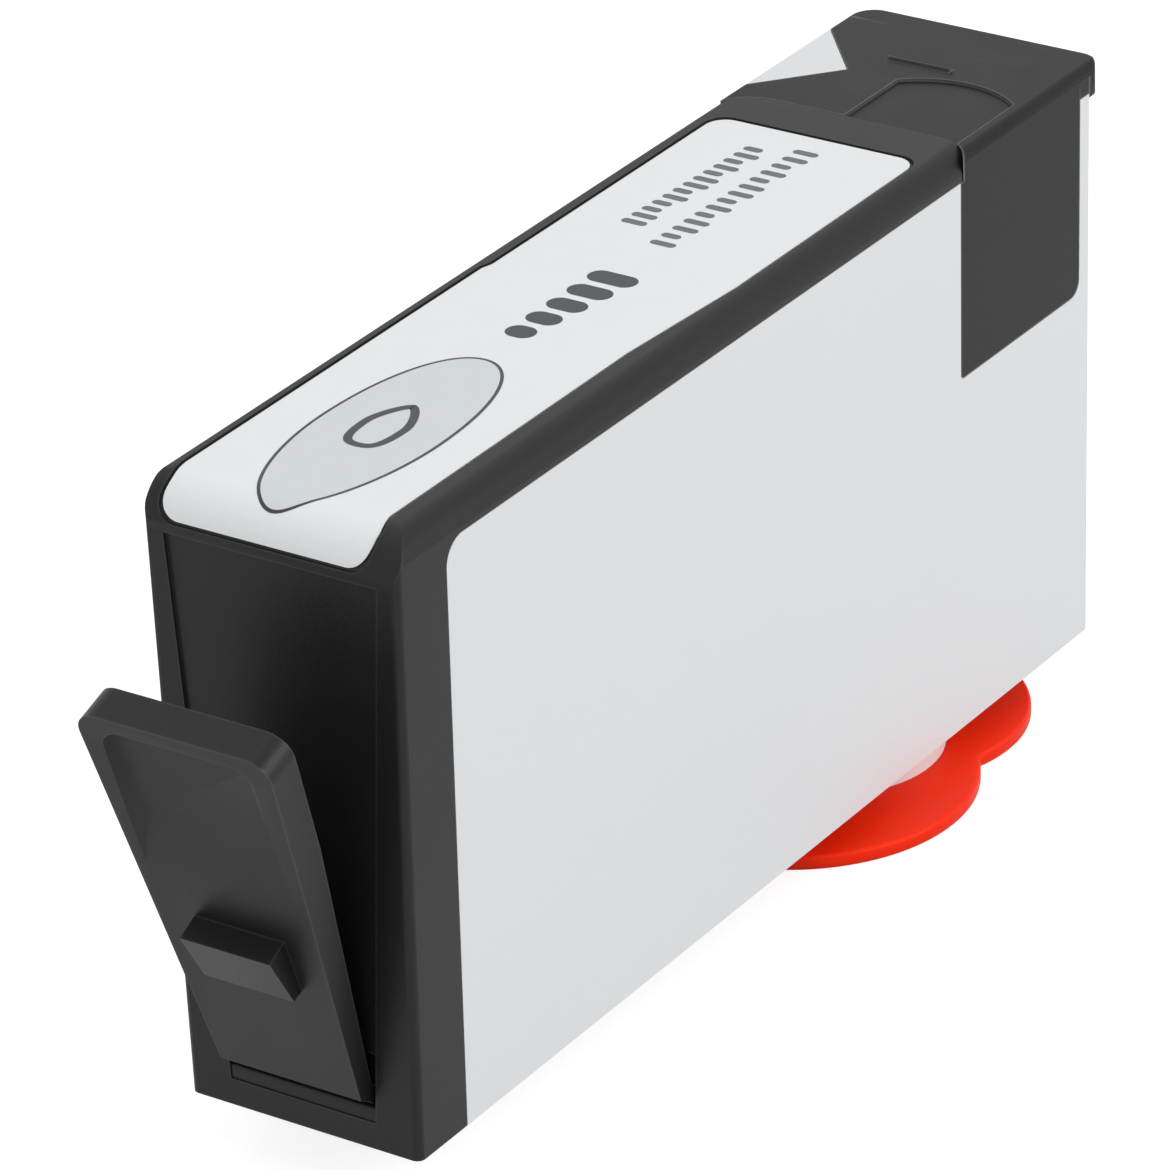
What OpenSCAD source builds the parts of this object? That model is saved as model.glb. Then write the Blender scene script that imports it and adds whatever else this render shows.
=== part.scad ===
/* [Body] */
// Length of the body from the front wall to the rear face
body_l = 100; // [94:1:112]
// Height of the body, without the outlet collar
body_h = 52; // [48:1:60]
// Width across the top of the body
body_w = 23; // [22:0.5:27]
// How far each side leans in from the top to the bottom
draft = 0.82; // [0.2:0.02:1.2]
// Gap between pieces that are clipped, welded or laid together
fit_gap = 0.05; // [0.02:0.01:0.1]

/* [Tank] */
// Wall of the tank at its sides
side_wall = 2; // [1.8:0.1:2.4]
// Floor, roof and end walls of the tank
end_wall = 1.6; // [1.4:0.1:2.2]
// Distance of the partition from the front wall of the body
partition_x = 36; // [28:1:44]
// Thickness of the partition
partition_t = 1.4; // [1:0.1:2]
// Height of the passage under the partition
passage_h = 2.4; // [1.5:0.1:4]
// Radius of the two fill holes in the roof
fill_hole_r = 1.8; // [1.2:0.1:2.2]
// Radius of the vent hole in the roof
vent_hole_r = 0.8; // [0.5:0.1:1]

/* [Outlet] */
// Distance of the outlet from the rear face of the body
outlet_from_rear = 24; // [21:1:30]
// Outer radius of the outlet collar
collar_r = 9.6; // [8.5:0.1:10]
// Height of the outlet collar under the body
collar_h = 2.3; // [1.8:0.1:4]
// Radius of the outlet bore
outlet_r = 5; // [4:0.1:5.6]
// Width of the seal ring round the mouth of the outlet
seal_ring_w = 1.8; // [1.2:0.1:2.2]
// Depth of the groove that holds the seal ring
seal_ring_t = 1.2; // [0.8:0.1:1.4]
// Thickness of the filter screen
screen_t = 0.3; // [0.2:0.1:0.5]

/* [Cover] */
// Thickness of the cover's front wall
front_t = 2.6; // [2.4:0.1:3.2]
// Thickness of the cover's top wall
cover_t = 1.4; // [1.2:0.1:1.8]
// Thickness of the cover's side flanges
flange_t = 1.2; // [1:0.1:1.4]
// Height of the flange along the top edge
top_flange = 2.3; // [2:0.1:4]
// Width of the flange along the front edge
front_flange = 6.3; // [5:0.1:8]
// Radius of the inner corner where the flanges meet
flange_r = 2.2; // [1:0.1:4]
// Radius of the edge between the front and the top
front_top_r = 4; // [3:0.1:5]
// Radius of the long top edge on the near side
near_edge_r = 2.2; // [1:0.1:2.4]
// Radius of the long top edge on the far side
far_edge_r = 0.5; // [0.2:0.1:0.8]
// Radius of the front upright edges
upright_r = 0.7; // [0.3:0.1:1]

/* [Top label] */
// Thickness of the label
label_t = 0.15; // [0.1:0.01:0.2]
// Depth of the recess that the label lies in
label_recess = 0.25; // [0.2:0.01:0.4]
// Distance between the label and the rim of its recess
label_margin = 0.25; // [0.1:0.05:0.5]
// Distance between the label's rear edge and the seam with the rear cap
label_end_gap = 4.8; // [3:0.1:12]
// Distance from the front wall to where the label widens
label_step_start = 36; // [20:1:60]
// Length over which the label widens
label_step_len = 14; // [4:1:20]
// Drop of the label's front edge under the top of the body
label_front_drop = 2.8; // [2:0.1:3.2]
// Distance of the label's near edge from the middle, front part
label_near_front = 8; // [6:0.1:8.4]
// Distance of the label's near edge from the middle, rear part
label_near_rear = 8.9; // [6:0.1:9]
// Distance of the label's far edge from the middle, front part
label_far = 10.4; // [8:0.1:10.6]
// Step in the label's far edge
label_far_step = 0.3; // [0.1:0.1:0.6]
// Radius of the label's corners
label_r = 1.8; // [0.5:0.1:2.2]

/* [Latch lever] */
// Height of the lever's root above the bottom of the body
lever_root_z = 4.6; // [4:0.1:6]
// Length of the lever along its front face
lever_len = 36.8; // [30:0.2:38]
// Lean of the lever's front face from upright
lever_lean = 18.9; // [15:0.1:22]
// Thickness of the lever at its root
lever_root_t = 1.6; // [1.4:0.1:1.8]
// Thickness of the lever at its tip
lever_tip_t = 3.1; // [2.4:0.1:3.6]
// Distance from the root over which the lever grows thicker
lever_taper_l = 25; // [15:1:30]
// Half of the lever's width at its root
lever_root_w = 6.5; // [5:0.1:7]
// Half of the lever's width at its tip
lever_tip_w = 8.8; // [7:0.1:9]
// Radius of the lever's upper corners
lever_corner_r = 2; // [1:0.1:3]
// Radius of the bead at the lever's root
bead_r = 0.8; // [0.6:0.05:0.9]
// Running gap round the bead
bead_gap = 0.06; // [0.04:0.01:0.1]
// Depth of the recess in the front wall behind the lever
lever_recess = 0.3; // [0.2:0.05:0.4]
// Depth of the pocket behind the lever's root
root_pocket = 0.8; // [0.7:0.05:1]
// Height of the foot of the front wall under the recess
foot_h = 2.3; // [1.5:0.1:3.4]
// Depth of the finger dish at its upper end
dish_depth = 0.9; // [0.4:0.1:1.2]
// Distance between the upper end of the lever and the finger dish
dish_rim = 1.3; // [1:0.1:2.6]
// Distance from the root to the lower end of the finger dish
dish_start = 21.5; // [20:0.5:26]
// Length over which the finger dish runs out at its lower end
dish_run = 5; // [3:0.5:8]
// Half of the finger dish's width
dish_w = 6.8; // [5:0.1:7]
// Width of the finger dish's sloping walls
dish_wall = 1.2; // [0.6:0.1:1.6]
// Distance from the root to the shelf of the catch
catch_top = 16.5; // [14:0.1:18]
// Length of the catch along the lever
catch_len = 5.1; // [4:0.1:6]
// How far the catch stands out of the lever
catch_out = 2.2; // [1.2:0.1:2.6]
// Half of the catch's width
catch_w = 4.1; // [3:0.1:5]
// How far the catch's middle lies off the lever's middle
catch_side = 0.3; // [0:0.1:1]

/* [Rear cap] */
// Length of the cap's top from the seam to the rear face of the body
rear_top_l = 18; // [16.5:0.5:20.5]
// Radius of the seam where it curves round to the side tabs
seam_r = 4.2; // [4:0.1:5]
// Radius of the cap's long top edge on the near side
cap_edge_r = 1; // [0.4:0.1:1.1]
// How far the lip stands out behind the body
lip_out = 2.4; // [1:0.1:3]
// Height of the lip
lip_h = 2.7; // [2:0.1:3.5]
// Radius of the lip's corners
lip_r = 2; // [1:0.1:3]
// Thickness of the side tabs
tab_t = 0.9; // [0.7:0.1:1]
// Length of the side tabs
tab_len = 19; // [18:0.5:22]
// Distance of the tabs' rear edge from the rear face
tab_inset = 1.5; // [1:0.1:3]
// Height of the tabs' lower edge above the bottom of the body
tab_z = 32.2; // [28:0.2:38]
// Radius of the tabs' lower rear corner
tab_r = 1.4; // [0.5:0.1:3]
// Radius of the tabs' lower front corner
tab_front_r = 0.5; // [0.2:0.1:1]
// Half of the notch's length along the far edge
notch_half = 6.6; // [4:0.1:7]
// Depth of the notch
notch_depth = 5.7; // [4:0.1:7]
// Distance of the notch's point from the rear face of the body
notch_from_rear = 9.7; // [8.5:0.1:10.5]

/* [Shipping cap] */
// Thickness of the cap's plate
plate_t = 1.3; // [1:0.1:2]
// Thickness of the rubber disc in the cap
cap_seal_t = 0.6; // [0.4:0.1:0.8]
// Radius of the cap's round lobe
lobe_r = 15.3; // [13:0.1:16]
// Distance of the lobe's centre ahead of the outlet
lobe_offset = 5.5; // [4:0.1:7]
// Radius of the cap's round tail
tail_r = 12.7; // [10:0.1:14]
// Distance of the tail's centre behind the outlet
tail_offset = 7.9; // [5:0.1:10]

/* [Chip] */
// Width of the chip board
chip_w = 11; // [9:0.5:12]
// Height of the chip board
chip_h = 9; // [8:0.5:11]
// Thickness of the chip board
chip_t = 0.6; // [0.4:0.1:0.8]
// Height of the chip board's lower edge above the bottom of the body
chip_z = 7; // [5:0.5:12]
// Number of contacts in each row of the chip board
chip_columns = 3; // [2:1:4]
// Gap between contacts
contact_gap = 1; // [0.6:0.1:1.4]
// Thickness of the contacts
contact_t = 0.1; // [0.05:0.01:0.2]

/* [Hidden] */
$fn = 64;
eps = 0.01;

// Colours
black_plastic = [0.17, 0.18, 0.18];
tank_white = [0.87, 0.88, 0.88];
label_white = [0.92, 0.93, 0.95];
cap_red = [0.92, 0.16, 0.08];
foam_grey = [0.62, 0.63, 0.64];
rubber_grey = [0.35, 0.36, 0.37];
steel_grey = [0.66, 0.67, 0.68];
board_green = [0.1, 0.35, 0.2];
contact_gold = [0.83, 0.66, 0.3];

// Outer half width of the leaning sides at a height
function half_at(z) = body_w / 2 - draft * (1 - z / body_h);

// Places measured from the rear face
outlet_x = body_l - outlet_from_rear;
seam_x = body_l - rear_top_l;
tab_x = body_l - tab_inset - tab_len;
notch_x = body_l - notch_from_rear;
label_end_x = seam_x - label_end_gap;

// Heights and lengths that several pieces share
panel_top = body_h - top_flange;
cover_inner_z = body_h - cover_t;
roof_z = cover_inner_z - fit_gap;
tank_x0 = front_t + fit_gap;
room_x0 = tank_x0 + end_wall;
room_x1 = body_l - end_wall;
room_z1 = roof_z - end_wall;
rear_room_x0 = partition_x + partition_t;
seam_bend = 3.8;
weld_gap = 0.01;
seam_gap = 2 * fit_gap;

// Vent and fill holes in the roof
fill_ahead = 10;
fill_side = 4;
fill_places = [(room_x0 + partition_x) / 2, outlet_x - fill_ahead];
membrane_r = 2.2;
membrane_t = 0.4;
film_t = 0.15;
film_pocket = 0.3;
film_l = 16;
film_w = 6;
film_inset = 5;
vent_x = rear_room_x0 + film_inset + film_w / 2;
vent_y = film_w / 2;

// Foam blocks in the rear room
feed_foam_h = 13;
foam_headroom = 1.5;

// Root of the lever and the recess behind it
root_front = [-1.4, lever_root_z + 0.3];
bead_x = 0.5;
recess_z0 = foot_h;
recess_top_wall = 3.8;
recess_z1 = body_h - recess_top_wall;
root_pocket_z1 = lever_root_z + 3.6;
recess_side = 0.35;
lever_side_slope = (lever_tip_w - lever_root_w) / lever_len;

// Label on the top and on the front edge
label_step_x = [label_step_start, label_step_start + label_step_len];
label_far_step_x = 44.5;
label_jog = 0.5;
label_front_z = body_h - label_front_drop;
label_front_near = label_near_front + label_jog;
label_front_far = label_far - label_jog / 2;
label_nose_x = [front_top_r * (1 - cos(45)), front_top_r * 0.6, front_top_r * 1.1];

// Dip and rib on the rear cap's top
dip_depth = 0.25;
dip_y = [-9.9, 1.1];
dip_r = 8.5;
dip_x = notch_x - 6.3;
rib_x = notch_x + 3.6;
rib_y = [-2, 4];
rib_r = 0.5;
rib_sink = 0.3;

// Puts the origin at the middle of the outlet's mouth
module in_frame() {
    translate([-outlet_x, 0, collar_h]) children();
}

// Extrudes a Y-Z outline along X
module along_x(x0, x1) {
    translate([x0, 0, 0]) rotate([90, 0, 90]) linear_extrude(x1 - x0) children();
}

// Extrudes an X-Z outline along Y
module along_y(y0, y1) {
    translate([0, y1, 0]) rotate([90, 0, 0]) linear_extrude(y1 - y0) children();
}

// Extrudes an X-Y outline along Z
module along_z(z0, z1) {
    translate([0, 0, z0]) linear_extrude(z1 - z0) children();
}

// Block between the two leaning sides, set in from each of them
module drafted(x0, x1, z0, z1, near_in = 0, far_in = 0) {
    along_x(x0, x1) polygon([
        [near_in - half_at(z0), z0],
        [half_at(z0) - far_in, z0],
        [half_at(z1) - far_in, z1],
        [near_in - half_at(z1), z1]
    ]);
}

// Layer along one leaning side between two depths; side is -1 near, 1 far
module side_layer(side, x0, x1, z0, z1, depth0, depth1) {
    along_x(x0, x1) polygon([
        [side * (half_at(z0) - depth1), z0],
        [side * (half_at(z0) - depth0), z0],
        [side * (half_at(z1) - depth0), z1],
        [side * (half_at(z1) - depth1), z1]
    ]);
}

// What an arc of radius r about (0, 0) leaves of a square corner
module corner_waste(r) {
    difference() {
        square(r + 1);
        circle(r);
    }
}

// Rectangle with rounded corners
module rounded_rect(x0, y0, x1, y1, r) {
    translate([x0 + r, y0]) square([x1 - x0 - 2 * r, y1 - y0]);
    translate([x0, y0 + r]) square([x1 - x0, y1 - y0 - 2 * r]);
    for (x = [x0 + r, x1 - r], y = [y0 + r, y1 - r]) translate([x, y]) circle(r);
}

// Side panel that the cover's flanges frame, seen from the side
module panel_outline(gap) {
    x0 = front_flange + gap;
    z1 = panel_top - gap;
    translate([x0 + flange_r, -1]) square([body_l, z1 + 1]);
    translate([x0, -1]) square([body_l, z1 - flange_r + 1]);
    translate([x0 + flange_r, z1 - flange_r]) circle(flange_r);
}

// Side tab of the rear cap, seen from the side
module tab_outline(gap, top) {
    x0 = tab_x - gap;
    x1 = body_l - tab_inset + gap;
    z0 = tab_z - gap;
    translate([x0 + tab_front_r, z0]) square([x1 - x0 - tab_r - tab_front_r, top - z0]);
    translate([x0, z0 + tab_r]) square([x1 - x0, top - z0 - tab_r]);
    translate([x0, z0 + tab_front_r]) square([tab_r, top - z0 - tab_front_r]);
    translate([x0 + tab_front_r, z0 + tab_front_r]) circle(tab_front_r);
    translate([x1 - tab_r, z0 + tab_r]) circle(tab_r);
}

// Rear cap's side of the seam, seen from above: straight across the top, curved at both sides
module behind_seam(gap) {
    x0 = seam_x - seam_r;
    difference() {
        translate([x0, -body_w]) square([body_l, 2 * body_w]);
        translate([x0 - 1, seam_bend - body_w / 2]) square([seam_r + gap + 1, body_w - 2 * seam_bend]);
        for (side = [-1, 1]) translate([x0, side * (body_w / 2 - seam_bend)]) circle(seam_r + gap);
    }
}

// Notch in the far edge of the rear cap, seen from above
module notch_outline(gap) {
    slope = notch_depth / notch_half;
    shift = gap * sqrt(1 + slope * slope);
    reach = notch_half + 1 / slope - shift / slope;
    polygon([
        [notch_x - reach, body_w / 2 + 1],
        [notch_x, body_w / 2 - notch_depth + shift],
        [notch_x + reach, body_w / 2 + 1]
    ]);
}

// Tank: white moulding, open on the far side
module tank_shell() in_frame() color(tank_white) {
    difference() {
        union() {
            drafted(tank_x0, body_l, 0, roof_z, flange_t + fit_gap, side_wall + weld_gap);
            intersection() {
                side_layer(-1, tank_x0, body_l, 0, roof_z, 0, side_wall);
                along_y(-body_w, 0) panel_outline(fit_gap);
            }
            translate([outlet_x, 0, -collar_h]) cylinder(r = collar_r, h = collar_h + eps);
            key_block();
        }
        tank_room(room_x0, partition_x);
        tank_room(rear_room_x0, room_x1);
        // Passage under the partition
        drafted(partition_x - 1, rear_room_x0 + 1, end_wall, end_wall + passage_h, side_wall, side_wall + 2);
        // Outlet bore and the groove of its seal ring
        translate([outlet_x, 0, -collar_h - 1]) cylinder(r = outlet_r, h = collar_h + end_wall + 2);
        translate([outlet_x, 0, -collar_h - 1]) cylinder(r = outlet_r + seal_ring_w, h = seal_ring_t + 1);
        tab_pocket(-1);
        roof_holes();
        chip_pocket();
    }
}

// Room in the tank between two distances from the front, through the open side
module tank_room(x0, x1) {
    drafted(x0, x1, end_wall, room_z1, side_wall, side_wall - 1);
}

// Block that fills the notch of the rear cap
module key_block() {
    intersection() {
        along_z(0, body_h) notch_outline(fit_gap);
        union() {
            drafted(0, body_l, roof_z - eps, body_h, 0, side_wall + fit_gap);
            drafted(0, body_l, roof_z + fit_gap, body_h);
            side_layer(1, 0, body_l, panel_top + fit_gap, body_h, 0, flange_t);
        }
    }
}

// Pocket in a side wall for a tab of the rear cap
module tab_pocket(side) {
    intersection() {
        side_layer(side, 0, body_l + 1, 0, body_h, -1, tab_t + fit_gap);
        along_y(-body_w, body_w) tab_outline(fit_gap, body_h);
    }
}

// Fill holes, vent hole and the pockets over it
module roof_holes() {
    for (x = fill_places) translate([x, -fill_side, room_z1 - 1]) cylinder(r = fill_hole_r, h = end_wall + 2);
    translate([vent_x, vent_y, room_z1 - 1]) cylinder(r = vent_hole_r, h = end_wall + 2);
    translate([vent_x, vent_y, roof_z - film_pocket - membrane_t]) cylinder(r = membrane_r, h = 2);
    translate([vent_x - film_w / 2, vent_y - film_w / 2, roof_z - film_pocket])
        cube([film_l, film_w, 2]);
}

// Pocket for the chip board in the rear wall
module chip_pocket() {
    translate([body_l - chip_t, -chip_w / 2 - fit_gap, chip_z - fit_gap])
        cube([chip_t + 1, chip_w + 2 * fit_gap, chip_h + 2 * fit_gap]);
}

// Lid that closes the tank's far side
module tank_lid() in_frame() color(tank_white) {
    difference() {
        union() {
            side_layer(1, tank_x0, body_l, 0, roof_z, flange_t + fit_gap, side_wall);
            intersection() {
                side_layer(1, tank_x0, body_l, 0, roof_z, 0, side_wall);
                along_y(0, body_w) panel_outline(fit_gap);
            }
        }
        tab_pocket(1);
    }
}

// Cover: front wall, top wall and the flanges round the side panels
module front_top_cover() in_frame() color(black_plastic) {
    difference() {
        drafted(0, seam_x, 0, body_h);
        drafted(front_t, body_l, -1, cover_inner_z, flange_t, flange_t);
        along_y(-body_w, body_w) panel_outline(0);
        along_z(tab_z, body_h + 1) behind_seam(0);
        outer_rounding();
        lever_recess_cut();
        label_recess_cut();
    }
}

// Waste of the cover's rounded edges
module outer_rounding() {
    // Near and far long top edges
    translate([0, near_edge_r - body_w / 2, body_h - near_edge_r])
        along_x(-1, body_l) mirror([1, 0]) corner_waste(near_edge_r);
    translate([0, body_w / 2 - far_edge_r, body_h - far_edge_r])
        along_x(-1, body_l) corner_waste(far_edge_r);
    // Edge between the front and the top
    translate([front_top_r, 0, body_h - front_top_r])
        along_y(-body_w, body_w) mirror([1, 0]) corner_waste(front_top_r);
    // Front upright edges, which lean with the sides
    for (side = [-1, 1])
        translate([upright_r, side * (half_at(0) - upright_r), 0])
            rotate([-side * atan(draft / body_h), 0, 0])
                translate([0, 0, -2]) linear_extrude(body_h + 4)
                    mirror([1, 0]) mirror([0, side < 0 ? 1 : 0]) corner_waste(upright_r);
}

// Recess in the front wall that the lever swings towards, deeper behind its root
module lever_recess_cut() {
    recess_part(lever_recess, recess_z1);
    recess_part(root_pocket, root_pocket_z1);
    bead_line(bead_r + bead_gap, lever_root_w + recess_side - 0.2);
}

// Part of the recess up to a height
module recess_part(depth, z1) {
    w0 = lever_root_w + recess_side + lever_side_slope * (recess_z0 - lever_root_z);
    w1 = w0 + lever_side_slope * (z1 - recess_z0);
    along_x(-1, depth) polygon([
        [-w0, recess_z0],
        [w0, recess_z0],
        [w1, z1],
        [-w1, z1]
    ]);
}

// Cylinder along the lever's root
module bead_line(r, half_length) {
    translate([bead_x, half_length, lever_root_z]) rotate([90, 0, 0]) cylinder(r = r, h = 2 * half_length);
}

// Front and top of the body at a depth under its surface, seen from the side
module front_top_profile(depth) {
    translate([depth, 0]) square([body_l, body_h - front_top_r]);
    translate([front_top_r, 0]) square([body_l, body_h - depth]);
    translate([front_top_r, body_h - front_top_r]) circle(front_top_r - depth);
}

// Layer between two depths under the front and top of the body
module front_top_layer(depth0, depth1) {
    along_y(-body_w / 2, body_w / 2) difference() {
        front_top_profile(depth0);
        front_top_profile(depth1);
    }
}

// Outline of the label, seen from above: the nose is free in front of the first
// place, where the front outline takes over
module label_top_outline(grow) {
    x1 = label_end_x + grow;
    nose = label_nose_x;
    near0 = -label_near_front - grow;
    near1 = -label_near_rear - grow;
    near_nose = -label_front_near - grow;
    far0 = label_far + grow;
    far1 = label_far - label_far_step + grow;
    far_nose = label_front_far + grow;
    r = label_r;
    polygon([
        [-1, near_nose - 1],
        [nose[0], near_nose - 1],
        [nose[0], near_nose],
        [nose[1], near_nose],
        [nose[2], near0],
        [label_step_x[0], near0],
        [label_step_x[1], near1],
        [x1 - r, near1],
        [x1, near1 + r],
        [x1, far1 - r],
        [x1 - r, far1],
        [label_far_step_x, far1],
        [label_far_step_x - 1, far0],
        [nose[2], far0],
        [nose[1], far_nose],
        [nose[0], far_nose],
        [nose[0], far_nose + 1],
        [-1, far_nose + 1]
    ]);
    translate([x1 - r, near1 + r]) circle(r);
    translate([x1 - r, far1 - r]) circle(r);
}

// Outline of the label, seen from the front: free above the height at which the
// top outline takes over
module label_front_outline(grow) {
    z0 = label_front_z - grow;
    near = label_front_near + grow;
    far = label_front_far + grow;
    rounded_rect(-near, z0, far, body_h + 1 + label_r, label_r);
    translate([-body_w, body_h - label_nose_x[0]]) square([2 * body_w, 2]);
}

// Sheet in the label's outline between two depths
module label_sheet(depth0, depth1, grow) {
    intersection() {
        front_top_layer(depth0, depth1);
        along_z(0, body_h + 1) label_top_outline(grow);
        along_x(-1, body_l) label_front_outline(grow);
    }
}

module label_recess_cut() {
    label_sheet(-1, label_recess, label_margin);
}

// Printed label on the top and over the front edge
module top_label() in_frame() color(label_white) {
    label_sheet(label_recess - label_t, label_recess, 0);
}

// Puts the lever's own frame at its root: Z up its front face, X into it
module lever_frame() {
    translate([root_front[0], 0, root_front[1]]) rotate([0, -lever_lean, 0]) children();
}

// Tapered outline with rounded upper corners, seen from the front
module tapered_outline(z0, z1, w0, slope, r) {
    angle = atan(slope);
    zc = z1 - r;
    yc = w0 + slope * (zc - z0) - r / cos(angle);
    yt = yc + r * cos(angle);
    zt = zc - r * sin(angle);
    polygon([
        [-w0, z0],
        [w0, z0],
        [yt, zt],
        [yc, z1],
        [-yc, z1],
        [-yt, zt]
    ]);
    for (side = [-1, 1]) translate([side * yc, zc]) circle(r);
}

// Latch lever: plate, finger dish, catch and the bead at its root
module latch_lever() in_frame() color(black_plastic) {
    difference() {
        union() {
            lever_frame() lever_plate();
            lever_frame() lever_catch();
            bead_line(bead_r, lever_root_w);
            lever_web();
        }
        lever_frame() finger_dish();
    }
}

// Plate of the lever, thicker towards its tip
module lever_plate() {
    intersection() {
        along_y(-body_w, body_w) polygon([
            [0, 0],
            [lever_root_t, 0],
            [lever_tip_t, lever_taper_l],
            [lever_tip_t, lever_len],
            [0, lever_len]
        ]);
        along_x(-1, lever_tip_t + 1)
            tapered_outline(0, lever_len, lever_root_w, lever_side_slope, lever_corner_r);
    }
}

// Wedge on the front of the lever
module lever_catch() {
    along_y(-catch_w - catch_side, catch_w - catch_side) polygon([
        [0.2, catch_top + 0.3],
        [-catch_out, catch_top],
        [-catch_out / 2, catch_top - catch_len],
        [0.2, catch_top - catch_len]
    ]);
}

// Waste of the finger dish: it deepens upwards and has sloping walls
module finger_dish() {
    dish_end = lever_len - dish_rim;
    intersection() {
        along_y(-body_w, body_w) polygon([
            [-1, dish_start],
            [0, dish_start],
            [dish_depth * 0.85, dish_start + dish_run],
            [dish_depth, dish_end - dish_wall],
            [0, dish_end],
            [-1, dish_end]
        ]);
        along_z(0, lever_len) polygon([
            [-1, -dish_w],
            [0, -dish_w],
            [dish_depth, dish_wall - dish_w],
            [dish_depth, dish_w - dish_wall],
            [0, dish_w],
            [-1, dish_w]
        ]);
        along_x(-1, dish_depth)
            rounded_rect(-dish_w, dish_start - 2 * lever_corner_r, dish_w, dish_end, lever_corner_r);
    }
}

// Web between the lever's plate and its bead
module lever_web() {
    root_back = root_front + lever_root_t * [cos(lever_lean), sin(lever_lean)];
    along_y(-lever_root_w, lever_root_w) polygon([
        root_front,
        [bead_x, lever_root_z - bead_r],
        [bead_x, lever_root_z + bead_r * 0.9],
        root_back + 0.3 * [-sin(lever_lean), cos(lever_lean)]
    ]);
}

// Rear cap: top plate with a notch, shoulders, side tabs and rear lip
module rear_cap() in_frame() color(black_plastic) {
    difference() {
        union() {
            intersection() {
                union() {
                    drafted(tab_x, body_l + lip_out, cover_inner_z, body_h);
                    for (side = [-1, 1])
                        side_layer(side, tab_x, body_l + fit_gap + eps, panel_top, body_h, 0, flange_t);
                }
                along_z(0, body_h + 1) behind_seam(seam_gap);
            }
            drafted(body_l + fit_gap, body_l + lip_out, body_h - lip_h, body_h);
            for (side = [-1, 1]) cap_tab(side);
            cap_rib();
        }
        along_z(panel_top, body_h + 1) notch_outline(0);
        translate([0, cap_edge_r - body_w / 2, body_h - cap_edge_r])
            along_x(0, body_l + lip_out + 1) mirror([1, 0]) corner_waste(cap_edge_r);
        // Rear corners of the lip
        for (side = [-1, 1])
            translate([body_l + lip_out - lip_r, side * (body_w / 2 - lip_r), 0])
                linear_extrude(body_h + 1) mirror([0, side < 0 ? 1 : 0]) corner_waste(lip_r);
        cap_dip();
    }
}

// Side tab of the rear cap: it joins the cap's flange behind the seam
module cap_tab(side) {
    intersection() {
        side_layer(side, 0, body_l, 0, body_h, 0, tab_t);
        along_y(-body_w, body_w) tab_outline(0, body_h - 1);
        union() {
            along_z(0, panel_top - fit_gap) translate([0, -body_w]) square([2 * body_l, 2 * body_w]);
            along_z(0, body_h) behind_seam(seam_gap);
        }
    }
}

// Shallow dip in the rear cap's top, open towards the seam
module cap_dip() {
    along_z(body_h - dip_depth, body_h + 1) intersection() {
        translate([dip_x, (dip_y[0] + dip_y[1]) / 2]) circle(dip_r);
        translate([seam_x - 1, dip_y[0]]) square([body_l, dip_y[1] - dip_y[0]]);
    }
}

// Low rib behind the notch
module cap_rib() {
    translate([rib_x, rib_y[1], body_h - rib_sink])
        rotate([90, 0, 0]) cylinder(r = rib_r, h = rib_y[1] - rib_y[0]);
}

// Block of foam in the rear room between two heights
module foam_block(z0, z1) {
    drafted(rear_room_x0 + fit_gap, room_x1 - fit_gap, z0, z1, side_wall + fit_gap, side_wall + fit_gap);
}

// Coarse foam that stores the ink
module store_foam() in_frame() color(foam_grey)
    foam_block(end_wall + feed_foam_h, room_z1 - foam_headroom);

// Fine foam that feeds the outlet
module feed_foam() in_frame() color(foam_grey) foam_block(end_wall, end_wall + feed_foam_h);

// Fibre wick in the outlet
module outlet_wick() in_frame() color(foam_grey)
    translate([outlet_x, 0, -collar_h]) cylinder(r = outlet_r - fit_gap, h = collar_h + end_wall - screen_t);

// Filter screen over the wick
module filter_screen() in_frame() color(steel_grey)
    translate([outlet_x, 0, end_wall - screen_t]) cylinder(r = outlet_r - fit_gap, h = screen_t);

// Rubber ring round the mouth of the outlet
module outlet_seal_ring() in_frame() color(rubber_grey)
    translate([outlet_x, 0, -collar_h]) difference() {
        cylinder(r = outlet_r + seal_ring_w - fit_gap, h = seal_ring_t);
        translate([0, 0, -1]) cylinder(r = outlet_r + fit_gap, h = seal_ring_t + 2);
    }

// Twist-off shipping cap under the outlet
module shipping_cap() in_frame() color(cap_red) {
    seal_r = outlet_r + seal_ring_w;
    difference() {
        along_z(-collar_h - plate_t, -collar_h) {
            translate([outlet_x - lobe_offset, 0]) circle(lobe_r);
            translate([outlet_x + tail_offset, 0]) circle(tail_r);
        }
        translate([outlet_x, 0, -collar_h - cap_seal_t]) cylinder(r = seal_r + fit_gap, h = cap_seal_t + 1);
    }
}

// Rubber disc in the shipping cap
module shipping_cap_seal() in_frame() color(rubber_grey)
    translate([outlet_x, 0, -collar_h - cap_seal_t]) cylinder(r = outlet_r + seal_ring_w, h = cap_seal_t);

// Chip board in the rear wall
module chip_board() in_frame() color(board_green)
    translate([body_l - chip_t, -chip_w / 2, chip_z]) cube([chip_t, chip_w, chip_h]);

// Contacts in two rows on the chip board
module chip_contacts() in_frame() color(contact_gold) {
    pitch = chip_w / chip_columns;
    pad = [contact_t, pitch - contact_gap, chip_h / 2 - contact_gap];
    for (i = [0:chip_columns - 1], j = [0, 1])
        translate([body_l, -chip_w / 2 + i * pitch + contact_gap / 2, chip_z + (j * chip_h + contact_gap) / 2])
            cube(pad);
}

// Porous disc over the vent hole
module vent_membrane() in_frame() color(label_white)
    translate([vent_x, vent_y, roof_z - film_pocket - membrane_t])
        cylinder(r = membrane_r - fit_gap, h = membrane_t);

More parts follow.
